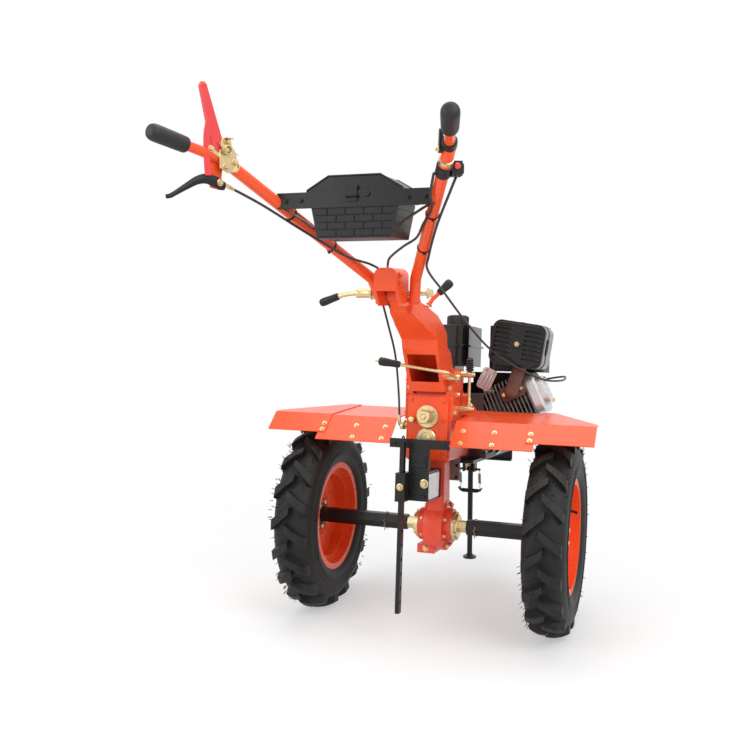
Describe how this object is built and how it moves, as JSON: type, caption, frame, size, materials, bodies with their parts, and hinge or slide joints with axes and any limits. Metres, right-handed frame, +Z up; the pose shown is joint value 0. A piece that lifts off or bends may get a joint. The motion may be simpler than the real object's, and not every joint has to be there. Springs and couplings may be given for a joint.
{
  "type": "rotary tiller",
  "caption": "Walk-behind tiller on lugged drive wheels, with a petrol engine in front, a swan-neck handlebar with a tool box, flat fenders, a rear hitch with a depth stake and a front stand",
  "frame": {"origin": "on the ground under the middle of the bounding box, parked on the wheels and the front stand", "axes": "+X forward, +Y to the machine's left, +Z up"},
  "size_m": [1.7068, 0.958, 1.4161],
  "materials": {
    "tyre": "moulded rubber with chevron lugs",
    "orange_paint": "gloss orange enamel",
    "leg_paint": "orange-red enamel on a rough casting",
    "black_paint": "semi-gloss black enamel",
    "zinc": "yellow zinc plating",
    "red_paint": "gloss red enamel",
    "engine_black": "gloss black enamel",
    "engine_grey": "cast, painted dark grey",
    "fins": "cast fins",
    "silver": "bright cast cover",
    "rust": "heat-rusted iron",
    "black_plastic": "moulded black plastic",
    "grip_rubber": "soft black rubber",
    "cable_sheath": "black cable sheath",
    "spring_steel": "bright spring wire"
  },
  "bodies": {
    "chassis": {"gearbox": "orange_paint", "final_drive": "leg_paint", "axle_flanges": "zinc", "gearbox_caps": "zinc", "clutch_housing": "orange_paint", "crankcase": "engine_grey", "cylinder": "fins", "head_cover": "silver", "exhaust_elbow": "rust", "muffler": "engine_black", "muffler_guard": "engine_black", "fuel_tank": "engine_black", "fuel_cap": "black_plastic", "air_cleaner": "black_plastic", "fan_housing": "engine_black", "recoil_starter": "engine_black", "engine_bed": "black_paint", "column": "orange_paint", "lever_rods": "zinc", "lever_knobs": "black_plastic", "linkage": "zinc", "fender_left": "orange_paint", "fender_right": "orange_paint", "fender_extensions": "orange_paint", "fender_bar": "black_paint", "hitch": "black_paint", "depth_stake": "black_paint", "stand_springs": "spring_steel", "cable_clutch": "cable_sheath", "cable_throttle": "cable_sheath", "cable_stop": "cable_sheath"},
    "wheel_left": {"tyre_left": "tyre", "rim_left": "orange_paint", "axle_left": "black_paint", "shaft_left": "zinc"},
    "wheel_right": {"tyre_right": "tyre", "rim_right": "orange_paint", "axle_right": "black_paint", "shaft_right": "zinc"},
    "handlebar": {"handlebar_head": "orange_paint", "bar_left": "orange_paint", "bar_right": "orange_paint", "grips": "grip_rubber", "clamp_lever": "zinc", "clutch_lever": "red_paint", "clutch_bracket": "zinc", "hand_lever": "black_plastic", "throttle": "black_plastic", "cross_panel": "black_paint", "toolbox": "black_plastic"},
    "lid": {"toolbox_lid": "black_paint"},
    "stand": {"stand": "black_paint"}
  },
  "joints": [
    {"name": "wheel_left_spin", "type": "hinge", "parent": "chassis", "child": "wheel_left", "pos_m": [0.14946, 0.362, 0.285], "axis": [0, 1, 0], "continuous": true},
    {"name": "wheel_right_spin", "type": "hinge", "parent": "chassis", "child": "wheel_right", "pos_m": [0.14946, -0.362, 0.285], "axis": [0, 1, 0], "continuous": true},
    {"name": "handlebar_height", "type": "hinge", "parent": "chassis", "child": "handlebar", "pos_m": [-0.21684, 0, 0.97455], "axis": [0, 1, 0], "range_deg": [-20, 10], "deforming": ["cable_clutch", "cable_throttle", "cable_stop"]},
    {"name": "lid_hinge", "type": "hinge", "parent": "handlebar", "child": "lid", "pos_m": [-0.39284, 0, 1.17855], "axis": [0, 1, 0], "range_deg": [0, 100]},
    {"name": "stand_fold", "type": "hinge", "parent": "chassis", "child": "stand", "pos_m": [0.78516, 0.051, 0.37996], "axis": [0, 1, 0], "range_deg": [0, 92], "deforming": ["stand_springs"]}
  ]
}
